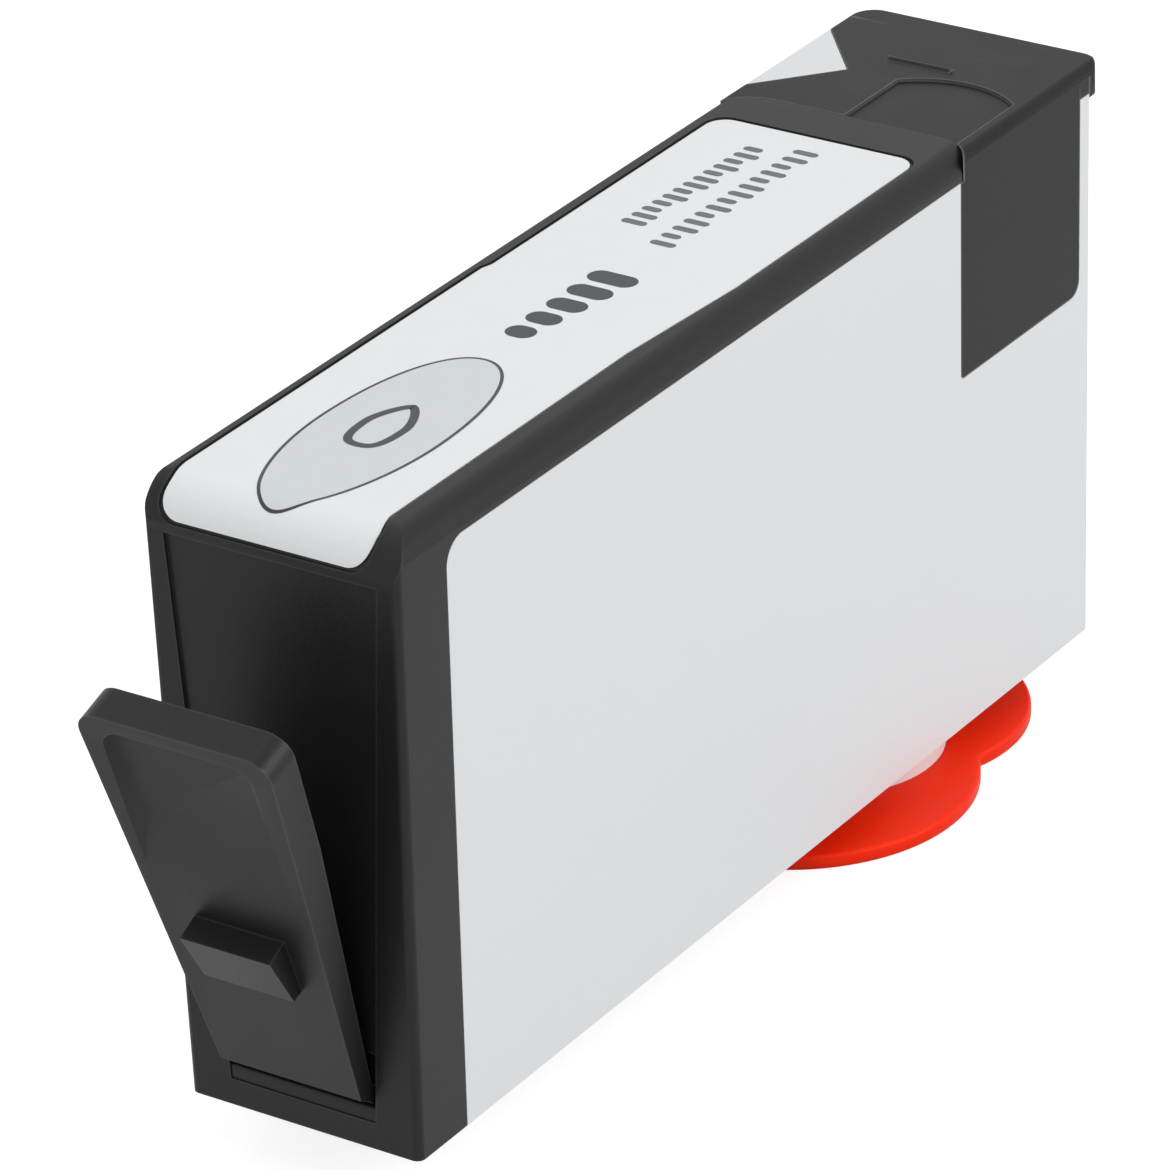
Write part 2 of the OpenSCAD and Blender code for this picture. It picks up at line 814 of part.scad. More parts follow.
// Film over the vent's pocket
module vent_film() in_frame() color(steel_grey)
    translate([vent_x - film_w / 2 + fit_gap, vent_y - film_w / 2 + fit_gap, roof_z - film_pocket])
        cube([film_l - 2 * fit_gap, film_w - 2 * fit_gap, film_t]);

// Plugs in the fill holes
module fill_plugs() in_frame() color(rubber_grey)
    for (x = fill_places) translate([x, -fill_side, room_z1]) cylinder(r = fill_hole_r - fit_gap, h = end_wall);

tank_shell();
tank_lid();
front_top_cover();
latch_lever();
rear_cap();
top_label();
store_foam();
feed_foam();
outlet_wick();
filter_screen();
outlet_seal_ring();
shipping_cap();
shipping_cap_seal();
chip_board();
chip_contacts();
vent_membrane();
vent_film();
fill_plugs();
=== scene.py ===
"""Looks of a slim upright ink cartridge: softened edges, finishes, printed label, stage and camera."""

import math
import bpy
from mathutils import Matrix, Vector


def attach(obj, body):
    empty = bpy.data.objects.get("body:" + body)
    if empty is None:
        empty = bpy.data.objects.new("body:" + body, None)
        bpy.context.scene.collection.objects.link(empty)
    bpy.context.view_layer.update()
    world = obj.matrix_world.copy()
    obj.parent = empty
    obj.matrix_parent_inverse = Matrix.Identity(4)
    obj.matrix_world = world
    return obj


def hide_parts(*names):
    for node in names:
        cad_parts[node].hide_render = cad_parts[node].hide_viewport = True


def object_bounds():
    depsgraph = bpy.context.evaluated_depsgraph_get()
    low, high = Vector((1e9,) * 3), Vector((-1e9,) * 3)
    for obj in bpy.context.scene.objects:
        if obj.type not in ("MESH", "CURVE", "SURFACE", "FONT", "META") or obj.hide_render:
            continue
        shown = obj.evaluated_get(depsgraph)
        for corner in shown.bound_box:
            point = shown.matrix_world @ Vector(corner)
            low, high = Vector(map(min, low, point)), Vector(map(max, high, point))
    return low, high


bl_info = {
    "name": "Ink Cartridge",
    "version": (1, 0, 0),
    "blender": (4, 5, 0),
    "location": "View3D > Sidebar > Cartridge",
    "description": "Softened edges, finishes, printed label, stage and camera of an ink cartridge",
    "category": "Object",
}

import bpy
from mathutils import Matrix, Vector

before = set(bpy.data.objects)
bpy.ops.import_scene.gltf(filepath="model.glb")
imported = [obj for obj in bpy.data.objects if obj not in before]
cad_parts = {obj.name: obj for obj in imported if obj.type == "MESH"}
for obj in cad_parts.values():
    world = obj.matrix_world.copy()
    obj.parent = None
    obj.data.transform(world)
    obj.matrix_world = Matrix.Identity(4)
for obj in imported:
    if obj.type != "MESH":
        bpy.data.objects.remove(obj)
cad_box = [[float(c) for c in corner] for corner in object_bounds()]

MM = 0.001

# The body's own axes run from its lower front edge, in millimetres.
# The part's frame starts at the outlet's mouth.
OUTLET_X = 76.0
COLLAR_H = 2.3

# How a copy of a CAD node is merged, freed of flat edges and rounded
MERGE_REACH = 0.002 * MM
FLAT_ANGLE = math.radians(0.8)
SHARP_ANGLE = math.radians(40)
SMOOTH_ANGLE = math.radians(35)
EDGE_STEPS = 3

# Strip under the lever's root: places on the body's axes, half of its width and the radius of its edges
STRIP_X = (0.1, 0.9)
STRIP_Z = (1.9, 3.55)
STRIP_HALF = 7.1
STRIP_EDGE = 0.25

# Printed shapes. They start flat above the label, are cut at even steps over its front bend
# and are laid on it.
PRINT_START = 53.0
BEND_STEP = 0.35
BEND_CUTS = 12
INK_SHARE = 0.9
ROUND_STEPS = 24
CURVE_STEPS = 20
# Centre, half length, half width and fullness of the rear end
OVAL = (15.8, 0.8, 14.1, 5.45, 0.07)
DROP = (16.6, 0.9, 4.0, 2.1, -0.35)
# Dark bars of rising height: count, first front end, pitch, length, least near side, rise of each, far side
LEVEL_COUNT, LEVEL_FRONT, LEVEL_PITCH, LEVEL_LENGTH = 5, 34.2, 2.86, 2.1
LEVEL_NEAR, LEVEL_RISE, LEVEL_FAR = -0.1, 0.45, 2.5
# Rows of small bars: name, front end, pitch, middle of the first bar, drift, and which bars are tall
SMALL_ROWS = (
    ("print_row_near", 53.7, 1.55, 0.45, -0.03, "10110101101011"),
    ("print_row_far", 56.1, 1.37, 4.7, -0.06, "1100101101010"),
)
SMALL_LENGTH, TALL_REACH, SHORT_REACH = 0.8, 1.15, 0.6

# Stage. The floor lies a little under the part. Its grey takes the shadow, and its glow makes it
# white to the camera.
FLOOR_DROP = 0.02 * MM
FLOOR_GREY = 0.45
FLOOR_SEEN_GLOW = 0.75
LAMP_SIZE = 0.6
LAMP_AIM = (45, 0, 25)
# Name, place in metres, and whether gloss shows it
LAMPS = (
    ("key", (0.15, -0.95, 0.5), True),
    ("top", (0.0, 0.1, 1.0), True),
    ("front", (-0.95, -0.2, 0.45), False),
    ("rear", (0.25, 0.9, 0.45), False),
)


def place(x, y, z):
    """A point given on the body's axes in millimetres, in the part's own frame in metres."""
    return Vector(((x - OUTLET_X) * MM, y * MM, (z + COLLAR_H) * MM))


# Sizes and colours that a user would change


class CartridgeSizes(bpy.types.PropertyGroup):
    """Edge radii and print sizes."""

    cover_edge: bpy.props.FloatProperty(
        name="Cover edge", description="Radius of the cover's softened edges",
        default=0.2 * MM, unit="LENGTH",
    )
    cap_edge: bpy.props.FloatProperty(
        name="Rear cap edge", description="Radius of the rear cap's softened edges",
        default=0.22 * MM, unit="LENGTH",
    )
    lever_edge: bpy.props.FloatProperty(
        name="Lever edge", description="Radius of the lever's softened edges",
        default=0.5 * MM, unit="LENGTH",
    )
    tank_edge: bpy.props.FloatProperty(
        name="Tank edge", description="Radius of the tank's softened edges",
        default=0.075 * MM, unit="LENGTH",
    )
    plug_edge: bpy.props.FloatProperty(
        name="Shipping cap edge", description="Radius of the shipping cap's softened edges",
        default=0.35 * MM, unit="LENGTH",
    )
    print_lift: bpy.props.FloatProperty(
        name="Print thickness", description="Thickness of the printed ink on the label",
        default=0.012 * MM,
        unit="LENGTH",
    )
    print_line: bpy.props.FloatProperty(
        name="Printed line", description="Width of the dark line round the pale oval",
        default=0.27 * MM,
        unit="LENGTH",
    )
    print_stroke: bpy.props.FloatProperty(
        name="Printed stroke", description="Width of the stroke of the drop", default=0.7 * MM,
        unit="LENGTH",
    )


class CartridgeColours(bpy.types.PropertyGroup):
    """Colours of the cartridge's finishes."""

    cover: bpy.props.FloatVectorProperty(
        name="Dark plastic", description="Colour of the cover, lever and rear cap",
        subtype="COLOR", size=3,
        min=0, max=1, default=(0.0085, 0.0092, 0.0088),
    )
    tank: bpy.props.FloatVectorProperty(
        name="Tank plastic", description="Colour of the tank and its lid", subtype="COLOR", size=3,
        min=0, max=1, default=(0.725, 0.735, 0.75),
    )
    label: bpy.props.FloatVectorProperty(
        name="Label paper", description="Colour of the top label", subtype="COLOR", size=3,
        min=0, max=1, default=(0.785, 0.81, 0.82),
    )
    field: bpy.props.FloatVectorProperty(
        name="Printed field", description="Colour of the pale oval on the label",
        subtype="COLOR", size=3,
        min=0, max=1, default=(0.63, 0.66, 0.665),
    )
    ink: bpy.props.FloatVectorProperty(
        name="Printing ink", description="Colour of the dark shapes on the label",
        subtype="COLOR", size=3,
        min=0, max=1, default=(0.020, 0.022, 0.025),
    )
    soft_ink: bpy.props.FloatVectorProperty(
        name="Pale printing ink", description="Colour of the rows of small print",
        subtype="COLOR", size=3,
        min=0, max=1, default=(0.11, 0.115, 0.12),
    )
    plug: bpy.props.FloatVectorProperty(
        name="Shipping cap", description="Colour of the shipping cap", subtype="COLOR", size=3,
        min=0, max=1, default=(1.0, 0.024, 0.001),
    )
    foam: bpy.props.FloatVectorProperty(
        name="Foam", description="Colour of the ink-soaked foam and wick", subtype="COLOR", size=3,
        min=0, max=1, default=(0.10, 0.105, 0.11),
    )
    rubber: bpy.props.FloatVectorProperty(
        name="Rubber", description="Colour of the seals and plugs", subtype="COLOR", size=3,
        min=0, max=1, default=(0.05, 0.05, 0.052),
    )
    board: bpy.props.FloatVectorProperty(
        name="Chip board", description="Colour of the chip board", subtype="COLOR", size=3,
        min=0, max=1, default=(0.02, 0.11, 0.05),
    )


class CartridgeStage(bpy.types.PropertyGroup):
    """Camera, lamps and floor."""

    azimuth: bpy.props.FloatProperty(
        name="Azimuth", description="Camera's turn about the upright axis",
        default=math.radians(-55.511),
        subtype="ANGLE",
    )
    elevation: bpy.props.FloatProperty(
        name="Elevation", description="Camera's height as an angle",
        default=math.radians(26.975), subtype="ANGLE",
    )
    roll: bpy.props.FloatProperty(
        name="Roll", description="Camera's roll", default=math.radians(-2.446), subtype="ANGLE"
    )
    distance: bpy.props.FloatProperty(
        name="Distance", description="Camera's distance from its aim point",
        default=582.99 * MM, unit="LENGTH",
    )
    aim: bpy.props.FloatVectorProperty(
        name="Aim point", description="Point that the camera looks at", subtype="XYZ", size=3,
        default=(-36.337 * MM, -0.697 * MM, 30.979 * MM),
    )
    lens: bpy.props.FloatProperty(
        name="Lens", description="Focal length in millimetres", default=229.72,
    )
    key_power: bpy.props.FloatProperty(
        name="Key lamp", description="Power of the key lamp in watts", default=6.0,
    )
    top_power: bpy.props.FloatProperty(
        name="Top lamp", description="Power of the top lamp in watts", default=0.8,
    )
    front_power: bpy.props.FloatProperty(
        name="Front lamp", description="Power of the soft front lamp in watts", default=2.6
    )
    rear_power: bpy.props.FloatProperty(
        name="Rear lamp", description="Power of the soft rear lamp in watts", default=3.2
    )
    world_level: bpy.props.FloatProperty(
        name="World level", description="Strength of the world's light", default=0.5,
    )
    floor_glow: bpy.props.FloatProperty(
        name="Floor's glow", description="Light that the floor adds in gloss, so that it mirrors as pale",
        default=0.6,
    )
    floor_size: bpy.props.FloatProperty(
        name="Floor size", description="Side of the square floor", default=6.0, unit="LENGTH"
    )


# Node groups that several finishes use


def new_group(name, inputs, outputs):
    """A shader node group with named sockets, and its input and output nodes."""
    group = bpy.data.node_groups.new(name, "ShaderNodeTree")
    for label, kind, value in inputs:
        socket = group.interface.new_socket(label, in_out="INPUT", socket_type="NodeSocket" + kind)
        if value is not None:
            socket.default_value = value
    for label, kind in outputs:
        group.interface.new_socket(label, in_out="OUTPUT", socket_type="NodeSocket" + kind)
    return group, group.nodes.new("NodeGroupInput"), group.nodes.new("NodeGroupOutput")


def maths(tree, operation, first, second=None, third=None):
    """A Math node, wired to sockets or set to numbers; gives its output."""
    node = tree.nodes.new("ShaderNodeMath")
    node.operation = operation
    for index, value in enumerate((first, second, third)):
        if value is None:
            continue
        if isinstance(value, (int, float)):
            node.inputs[index].default_value = value
        else:
            tree.links.new(value, node.inputs[index])
    return node.outputs[0]


def moulded_skin_group():
    """Fine grain, slow mottling and faint flow marks of a moulded plastic skin."""
    group, given, out = new_group(
        "Moulded skin",
        [
            ("Colour", "Color", (0.5, 0.5, 0.5, 1)),
            ("Mottle", "Float", 0.05),
            ("Roughness", "Float", 0.45),
            ("Roughness Spread", "Float", 0.06),
            ("Grain Scale", "Float", 4000.0),
            ("Flow Scale", "Float", 60.0),
        ],
        [("Colour", "Color"), ("Roughness", "Float"), ("Height", "Float")],
    )
    links = group.links
    place_node = group.nodes.new("ShaderNodeTexCoord")
    grain = group.nodes.new("ShaderNodeTexNoise")
    grain.inputs["Detail"].default_value = 3
    links.new(place_node.outputs["Object"], grain.inputs["Vector"])
    links.new(given.outputs["Grain Scale"], grain.inputs["Scale"])
    flow = group.nodes.new("ShaderNodeTexNoise")
    flow.inputs["Detail"].default_value = 4
    flow.inputs["Distortion"].default_value = 0.6
    links.new(place_node.outputs["Object"], flow.inputs["Vector"])
    links.new(given.outputs["Flow Scale"], flow.inputs["Scale"])
    slow = maths(group, "SUBTRACT", flow.outputs["Fac"], 0.5)
    fine = maths(group, "SUBTRACT", grain.outputs["Fac"], 0.5)
    both = maths(group, "ADD", slow, maths(group, "MULTIPLY", fine, 0.5))
    shade = maths(group, "ADD", maths(group, "MULTIPLY", both, given.outputs["Mottle"]), 1.0)
    tint = group.nodes.new("ShaderNodeVectorMath")
    tint.operation = "SCALE"
    links.new(given.outputs["Colour"], tint.inputs[0])
    links.new(shade, tint.inputs["Scale"])
    links.new(tint.outputs[0], out.inputs["Colour"])
    spread = maths(group, "MULTIPLY", both, given.outputs["Roughness Spread"])
    links.new(maths(group, "ADD", spread, given.outputs["Roughness"]), out.inputs["Roughness"])
    links.new(maths(group, "ADD", fine, maths(group, "MULTIPLY", slow, 0.3)), out.inputs["Height"])
    return group


def painted_highlight_group():
    """Paler colour along the edges: a painted highlight where the edges catch the light."""
    group, given, out = new_group(
        "Rubbed edge",
        [
            ("Colour", "Color", (0.5, 0.5, 0.5, 1)),
            ("Edge Colour", "Color", (0.6, 0.6, 0.6, 1)),
            ("Reach", "Float", 0.0006),
            ("Amount", "Float", 0.5),
        ],
        [("Colour", "Color"), ("Mask", "Float")],
    )
    links = group.links
    bevel = group.nodes.new("ShaderNodeBevel")
    bevel.samples = 6
    links.new(given.outputs["Reach"], bevel.inputs["Radius"])
    plain = group.nodes.new("ShaderNodeNewGeometry")
    dot = group.nodes.new("ShaderNodeVectorMath")
    dot.operation = "DOT_PRODUCT"
    links.new(bevel.outputs["Normal"], dot.inputs[0])
    links.new(plain.outputs["Normal"], dot.inputs[1])
    turned = maths(group, "SUBTRACT", 1.0, dot.outputs["Value"])
    mask = maths(group, "MULTIPLY", maths(group, "MULTIPLY", turned, 6.0), given.outputs["Amount"])
    capped = maths(group, "MINIMUM", mask, 1.0)
    mix = group.nodes.new("ShaderNodeMix")
    mix.data_type = "RGBA"
    links.new(capped, mix.inputs["Factor"])
    links.new(given.outputs["Colour"], mix.inputs["A"])
    links.new(given.outputs["Edge Colour"], mix.inputs["B"])
    links.new(mix.outputs["Result"], out.inputs["Colour"])
    links.new(capped, out.inputs["Mask"])
    return group


# Finishes


def new_finish(name):
    """An empty material with its Principled BSDF."""
    finish = bpy.data.materials.new(name)
    finish.use_nodes = True
    return finish, finish.node_tree, finish.node_tree.nodes["Principled BSDF"]


def add_bump(tree, shader, height, distance, strength):
    """Bump from a height, in metres."""
    bump = tree.nodes.new("ShaderNodeBump")
    bump.inputs["Distance"].default_value = distance
    bump.inputs["Strength"].default_value = strength
    tree.links.new(height, bump.inputs["Height"])
    tree.links.new(bump.outputs["Normal"], shader.inputs["Normal"])


def moulded_finish(name, colour, skin, edge=None, mottle=0.1, roughness=0.42, spread=0.08, grain=4500.0,
                   depth=0.02, flow=60.0, shine=0.5):
    """Moulded plastic: grained skin, with a painted highlight along the edges where edge groups are given.
    """
    finish, tree, shader = new_finish(name)
    surface = tree.nodes.new("ShaderNodeGroup")
    surface.node_tree = skin
    surface.inputs["Colour"].default_value = (*colour, 1)
    surface.inputs["Mottle"].default_value = mottle
    surface.inputs["Roughness"].default_value = roughness
    surface.inputs["Roughness Spread"].default_value = spread
    surface.inputs["Grain Scale"].default_value = grain
    surface.inputs["Flow Scale"].default_value = flow
    result = surface.outputs["Colour"]
    # Paints a highlight along the edges, where they would catch the lamps' light.
    if edge:
        group, edge_colour, reach, amount = edge
        painted_highlight = tree.nodes.new("ShaderNodeGroup")
        painted_highlight.node_tree = group
        painted_highlight.inputs["Edge Colour"].default_value = (*edge_colour, 1)
        painted_highlight.inputs["Reach"].default_value = reach
        painted_highlight.inputs["Amount"].default_value = amount
        tree.links.new(result, painted_highlight.inputs["Colour"])
        result = painted_highlight.outputs["Colour"]
    tree.links.new(result, shader.inputs["Base Color"])
    tree.links.new(surface.outputs["Roughness"], shader.inputs["Roughness"])
    add_bump(tree, shader, surface.outputs["Height"], depth * MM, 0.6)
    shader.inputs["IOR"].default_value = 1.5
    shader.inputs["Specular IOR Level"].default_value = shine
    return finish


def make_finishes():
    """All the finishes."""
    colours = bpy.context.scene.cartridge_colours
    skin = moulded_skin_group()
    edge = painted_highlight_group()
    cover = Vector(colours.cover)
    # Edge colours of the dark plastics: painted highlight along their edges, palest on the rear cap.
    pale = tuple(cover * 5)
    painted_highlight = tuple(cover * 16)
    moulded_finish("Cover plastic", tuple(cover), skin, (edge, pale, 0.3 * MM, 0.6), mottle=0.35,
                   roughness=0.41, spread=0.16, shine=0.27)
    moulded_finish("Lever plastic", tuple(cover * 1.1), skin, (edge, pale, 0.3 * MM, 0.8), mottle=0.35,
                   roughness=0.4, spread=0.16, shine=0.25)
    moulded_finish("Rear cap plastic", tuple(cover * 1.8), skin, (edge, painted_highlight, 0.3 * MM, 1.0), mottle=0.7,
                   roughness=0.37, spread=0.22, flow=140.0, shine=0.12)
    moulded_finish("Tank plastic", tuple(colours.tank), skin, mottle=0.035, roughness=0.5, spread=0.1,
                   grain=3000.0, depth=0.012, flow=35.0)
    plug = moulded_finish("Shipping cap plastic", tuple(colours.plug), skin, mottle=0.08, roughness=0.5,
                          spread=0.1, grain=2500.0, depth=0.012, flow=90.0, shine=0.15)
    shader = plug.node_tree.nodes["Principled BSDF"]
    shader.inputs["Subsurface Weight"].default_value = 0.8
    shader.inputs["Subsurface Radius"].default_value = (1.0, 0.15, 0.05)
    shader.inputs["Subsurface Scale"].default_value = 2 * MM
    moulded_finish("Seal rubber", tuple(colours.rubber), skin, mottle=0.3, roughness=0.7, grain=6000.0,
                   depth=0.03)
    moulded_finish("Solder mask", tuple(colours.board), skin, mottle=0.25, roughness=0.3, grain=7000.0,
                   depth=0.01, flow=400.0)
    for name, colour, mottle, roughness, flow in (
        ("Label paper", colours.label, 0.03, 0.42, 300.0),
        ("Printed field", colours.field, 0.05, 0.42, 500.0),
        ("Printing ink", colours.ink, 0.3, 0.38, 500.0),
        ("Pale printing ink", colours.soft_ink, 0.5, 0.4, 900.0),
    ):
        moulded_finish(name, tuple(colour), skin, mottle=mottle, roughness=roughness, grain=9000.0,
                       depth=0.006, flow=flow)
    foam_finish("Soaked foam", tuple(colours.foam))
    screen_finish("Woven steel")
    screen_finish("Vent film")
    contact_finish("Gold plate")


def foam_finish(name, colour):
    """Open-cell foam: dark cells between paler struts."""
    finish, tree, shader = new_finish(name)
    where = tree.nodes.new("ShaderNodeTexCoord")
    cells = tree.nodes.new("ShaderNodeTexVoronoi")
    cells.inputs["Scale"].default_value = 2200
    cells.feature = "DISTANCE_TO_EDGE"
    tree.links.new(where.outputs["Object"], cells.inputs["Vector"])
    ramp = tree.nodes.new("ShaderNodeValToRGB")
    ramp.color_ramp.elements[0].color = (*[min(1, c * 2.0) for c in colour], 1)
    ramp.color_ramp.elements[1].color = (*[c * 0.4 for c in colour], 1)
    ramp.color_ramp.elements[1].position = 0.35
    tree.links.new(cells.outputs["Distance"], ramp.inputs["Fac"])
    tree.links.new(ramp.outputs["Color"], shader.inputs["Base Color"])
    shader.inputs["Roughness"].default_value = 0.9
    add_bump(tree, shader, maths(tree, "SUBTRACT", 1.0, cells.outputs["Distance"]), 0.1 * MM, 0.8)
    return finish


def screen_finish(name):
    """Woven wire: two crossing sets of ridges."""
    finish, tree, shader = new_finish(name)
    where = tree.nodes.new("ShaderNodeTexCoord")
    heights = []
    for axis in ("X", "Y"):
        wave = tree.nodes.new("ShaderNodeTexWave")
        wave.bands_direction = axis
        wave.inputs["Scale"].default_value = 1600
        tree.links.new(where.outputs["Object"], wave.inputs["Vector"])
        heights.append(wave.outputs["Fac"])
    height = maths(tree, "MAXIMUM", *heights)
    ramp = tree.nodes.new("ShaderNodeValToRGB")
    ramp.color_ramp.elements[0].color = (0.06, 0.06, 0.062, 1)
    ramp.color_ramp.elements[1].color = (0.55, 0.55, 0.56, 1)
    tree.links.new(height, ramp.inputs["Fac"])
    tree.links.new(ramp.outputs["Color"], shader.inputs["Base Color"])
    shader.inputs["Metallic"].default_value = 0.9
    shader.inputs["Roughness"].default_value = 0.35
    add_bump(tree, shader, height, 0.05 * MM, 0.8)
    return finish


def contact_finish(name):
    """Gold plate with fine brushing."""
    finish, tree, shader = new_finish(name)
    where = tree.nodes.new("ShaderNodeTexCoord")
    stretch = tree.nodes.new("ShaderNodeMapping")
    stretch.inputs["Scale"].default_value = (1, 0.1, 1)
    noise = tree.nodes.new("ShaderNodeTexNoise")
    noise.inputs["Scale"].default_value = 6000
    tree.links.new(where.outputs["Object"], stretch.inputs["Vector"])
    tree.links.new(stretch.outputs["Vector"], noise.inputs["Vector"])
    ramp = tree.nodes.new("ShaderNodeValToRGB")
    ramp.color_ramp.elements[0].color = (0.75, 0.50, 0.17, 1)
    ramp.color_ramp.elements[1].color = (0.90, 0.66, 0.28, 1)
    tree.links.new(noise.outputs["Fac"], ramp.inputs["Fac"])
    tree.links.new(ramp.outputs["Color"], shader.inputs["Base Color"])
    shader.inputs["Metallic"].default_value = 1.0
    tree.links.new(maths(tree, "ADD", maths(tree, "MULTIPLY", noise.outputs["Fac"], 0.2), 0.18),
                   shader.inputs["Roughness"])
    return finish


def wear(piece, finish):
    """Gives a piece one finish."""
    piece.data.materials.clear()
    piece.data.materials.append(bpy.data.materials[finish])


# Helpers for shapes


def only(piece):
    """Selects one piece alone and makes it active."""
    bpy.ops.object.select_all(action="DESELECT")
    piece.hide_viewport = False
    piece.select_set(True)
    bpy.context.view_layer.objects.active = piece


def finish_with(piece, kind, **settings):
    """Adds a modifier with its settings and applies it."""
    only(piece)
    modifier = piece.modifiers.new(kind.title(), kind)
    for name, value in settings.items():
        setattr(modifier, name, value)
    bpy.ops.object.modifier_apply(modifier=modifier.name)


def dress(node, name, radius, finish, body="body"):
    """A copy of a CAD node with its sharp edges rounded, in its finish, which stands for that node."""
    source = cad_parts[node]
    piece = bpy.data.objects.new(name, source.data.copy())
    bpy.context.scene.collection.objects.link(piece)
    only(piece)
    bpy.ops.object.mode_set(mode="EDIT")
    bpy.ops.mesh.select_all(action="SELECT")
    bpy.ops.mesh.remove_doubles(threshold=MERGE_REACH)
    bpy.ops.mesh.dissolve_limited(angle_limit=FLAT_ANGLE, use_dissolve_boundaries=False)
    bpy.ops.object.mode_set(mode="OBJECT")
    finish_with(piece, "BEVEL", width=radius, segments=EDGE_STEPS, limit_method="ANGLE",
                angle_limit=SHARP_ANGLE, use_clamp_overlap=True)
    bpy.ops.object.shade_smooth_by_angle(angle=SMOOTH_ANGLE)
    finish_with(piece, "WEIGHTED_NORMAL", keep_sharp=True)
    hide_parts(node)
    wear(piece, finish)
    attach(piece, body)


def settle(piece, name):
    """Names a new piece and moves its place from the object into its mesh."""
    piece.name = name
    piece.data.name = name
    only(piece)
    bpy.ops.object.transform_apply(location=True, rotation=True, scale=True)
    return piece


def round_curve(name, x, y, half_length, half_width, rear_swell):
    """A closed face with a smooth round outline over the label, from a curve of four points.

    The swell makes its rear end fuller, or more pointed if it is negative.
    """
    bpy.ops.object.select_all(action="DESELECT")
    bpy.ops.curve.primitive_bezier_circle_add(radius=1, location=place(x, y, PRINT_START))
    curve = bpy.context.active_object
    spline = curve.data.splines[0]
    spline.resolution_u = CURVE_STEPS
    for knot in spline.bezier_points:
        knot.handle_left_type = "FREE"
        knot.handle_right_type = "FREE"
    for knot in spline.bezier_points:
        along, across = round(knot.co.x), round(knot.co.y)
        centre = Vector((along * half_length, across * half_width, 0)) * MM
        for end in ("handle_left", "handle_right"):
            reach = getattr(knot, end) - knot.co
            reach.x *= half_length * (1 + rear_swell * (1 if reach.x > 0 else -1))
            reach.y *= half_width * (1 + rear_swell * along)
            setattr(knot, end, centre + reach * MM)
        knot.co = centre
    only(curve)
    bpy.ops.object.convert(target="MESH")
    piece = settle(bpy.context.active_object, name)
    bpy.ops.object.mode_set(mode="EDIT")
    bpy.ops.mesh.select_all(action="SELECT")
    bpy.ops.mesh.remove_doubles(threshold=MERGE_REACH / 2)
    bpy.ops.mesh.edge_face_add()
    bpy.ops.object.mode_set(mode="OBJECT")
    return piece


def round_bar(x0, x1, y0, y1):
    """Adds a bar with round ends in edit mode: a round face, its rear and far halves pulled out."""
    radius = min(x1 - x0, y1 - y0) / 2
    middle = place(x0 + radius, y0 + radius, PRINT_START)
    bpy.ops.mesh.select_all(action="DESELECT")
    bpy.ops.mesh.primitive_circle_add(vertices=ROUND_STEPS, radius=radius * MM, fill_type="NGON",
                                      location=middle, rotation=(0, 0, math.pi / ROUND_STEPS))
    for axis, pull in enumerate((x1 - x0 - 2 * radius, y1 - y0 - 2 * radius)):
        bpy.ops.mesh.select_all(action="DESELECT")
        bpy.ops.object.mode_set(mode="OBJECT")
        for vertex in bpy.context.active_object.data.vertices[-ROUND_STEPS:]:
            vertex.select = vertex.co[axis] > middle[axis]
        bpy.ops.object.mode_set(mode="EDIT")
        shift = [0, 0, 0]
        shift[axis] = pull * MM
        bpy.ops.transform.translate(value=shift)


def bar_row(name, bars, ink):
    """One flat printed piece of bars with round ends, each as its front, rear, near and far places."""
    bpy.ops.object.select_all(action="DESELECT")
    bpy.ops.mesh.primitive_circle_add(vertices=3, radius=MM, location=(0, 0, 0))
    piece = bpy.context.active_object
    piece.name = name
    piece.data.materials.append(bpy.data.materials[ink])
    only(piece)
    bpy.ops.object.mode_set(mode="EDIT")
    bpy.ops.mesh.select_mode(type="VERT")
    bpy.ops.mesh.select_all(action="SELECT")
    bpy.ops.mesh.delete(type="VERT")
    for bar in bars:
        round_bar(*bar)
    bpy.ops.object.mode_set(mode="OBJECT")
    return piece


def rim_of(piece, width, keep_middle):
    """Splits each face into a rim of a given width and a middle, which stays or is taken out."""
    only(piece)
    bpy.ops.object.mode_set(mode="EDIT")
    bpy.ops.mesh.select_mode(type="FACE")
    bpy.ops.mesh.select_all(action="SELECT")
    bpy.ops.mesh.inset(thickness=width, use_boundary=True)
    if keep_middle:
        piece.data.materials.append(bpy.data.materials["Printed field"])
        piece.data.materials.append(bpy.data.materials["Printing ink"])
        bpy.ops.mesh.select_all(action="INVERT")
        piece.active_material_index = 1
        bpy.ops.object.material_slot_assign()
    else:
        bpy.ops.mesh.delete(type="FACE")
    bpy.ops.object.mode_set(mode="OBJECT")


def lay_print(piece, layer=1):
    """Cuts a flat printed shape where the label bends, lays it on as a layer and gives it its thickness."""
    lift = bpy.context.scene.cartridge_sizes.print_lift
    only(piece)
    bpy.ops.object.mode_set(mode="EDIT")
    for step in range(1, BEND_CUTS + 1):
        bpy.ops.mesh.select_all(action="SELECT")
        bpy.ops.mesh.bisect(plane_co=place(BEND_STEP * step, 0, 0), plane_no=(1, 0, 0))
    bpy.ops.object.mode_set(mode="OBJECT")
    finish_with(piece, "SHRINKWRAP", target=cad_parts["top_label"], wrap_method="PROJECT",
                use_project_z=True, use_negative_direction=True, use_positive_direction=False,
                offset=lift * layer)
    finish_with(piece, "SOLIDIFY", thickness=lift * INK_SHARE, offset=-1)
    bpy.ops.object.mode_set(mode="EDIT")
    bpy.ops.mesh.select_all(action="SELECT")
    bpy.ops.mesh.normals_make_consistent(inside=False)
    bpy.ops.object.mode_set(mode="OBJECT")
    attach(piece, "body")


# Operators: one for each piece or group of like pieces


class CARTRIDGE_OT_finishes(bpy.types.Operator):
    """Make the finishes that the pieces wear"""

    bl_idname = "cartridge.finishes"
    bl_label = "Make finishes"

    def execute(self, context):
        make_finishes()
        return {"FINISHED"}


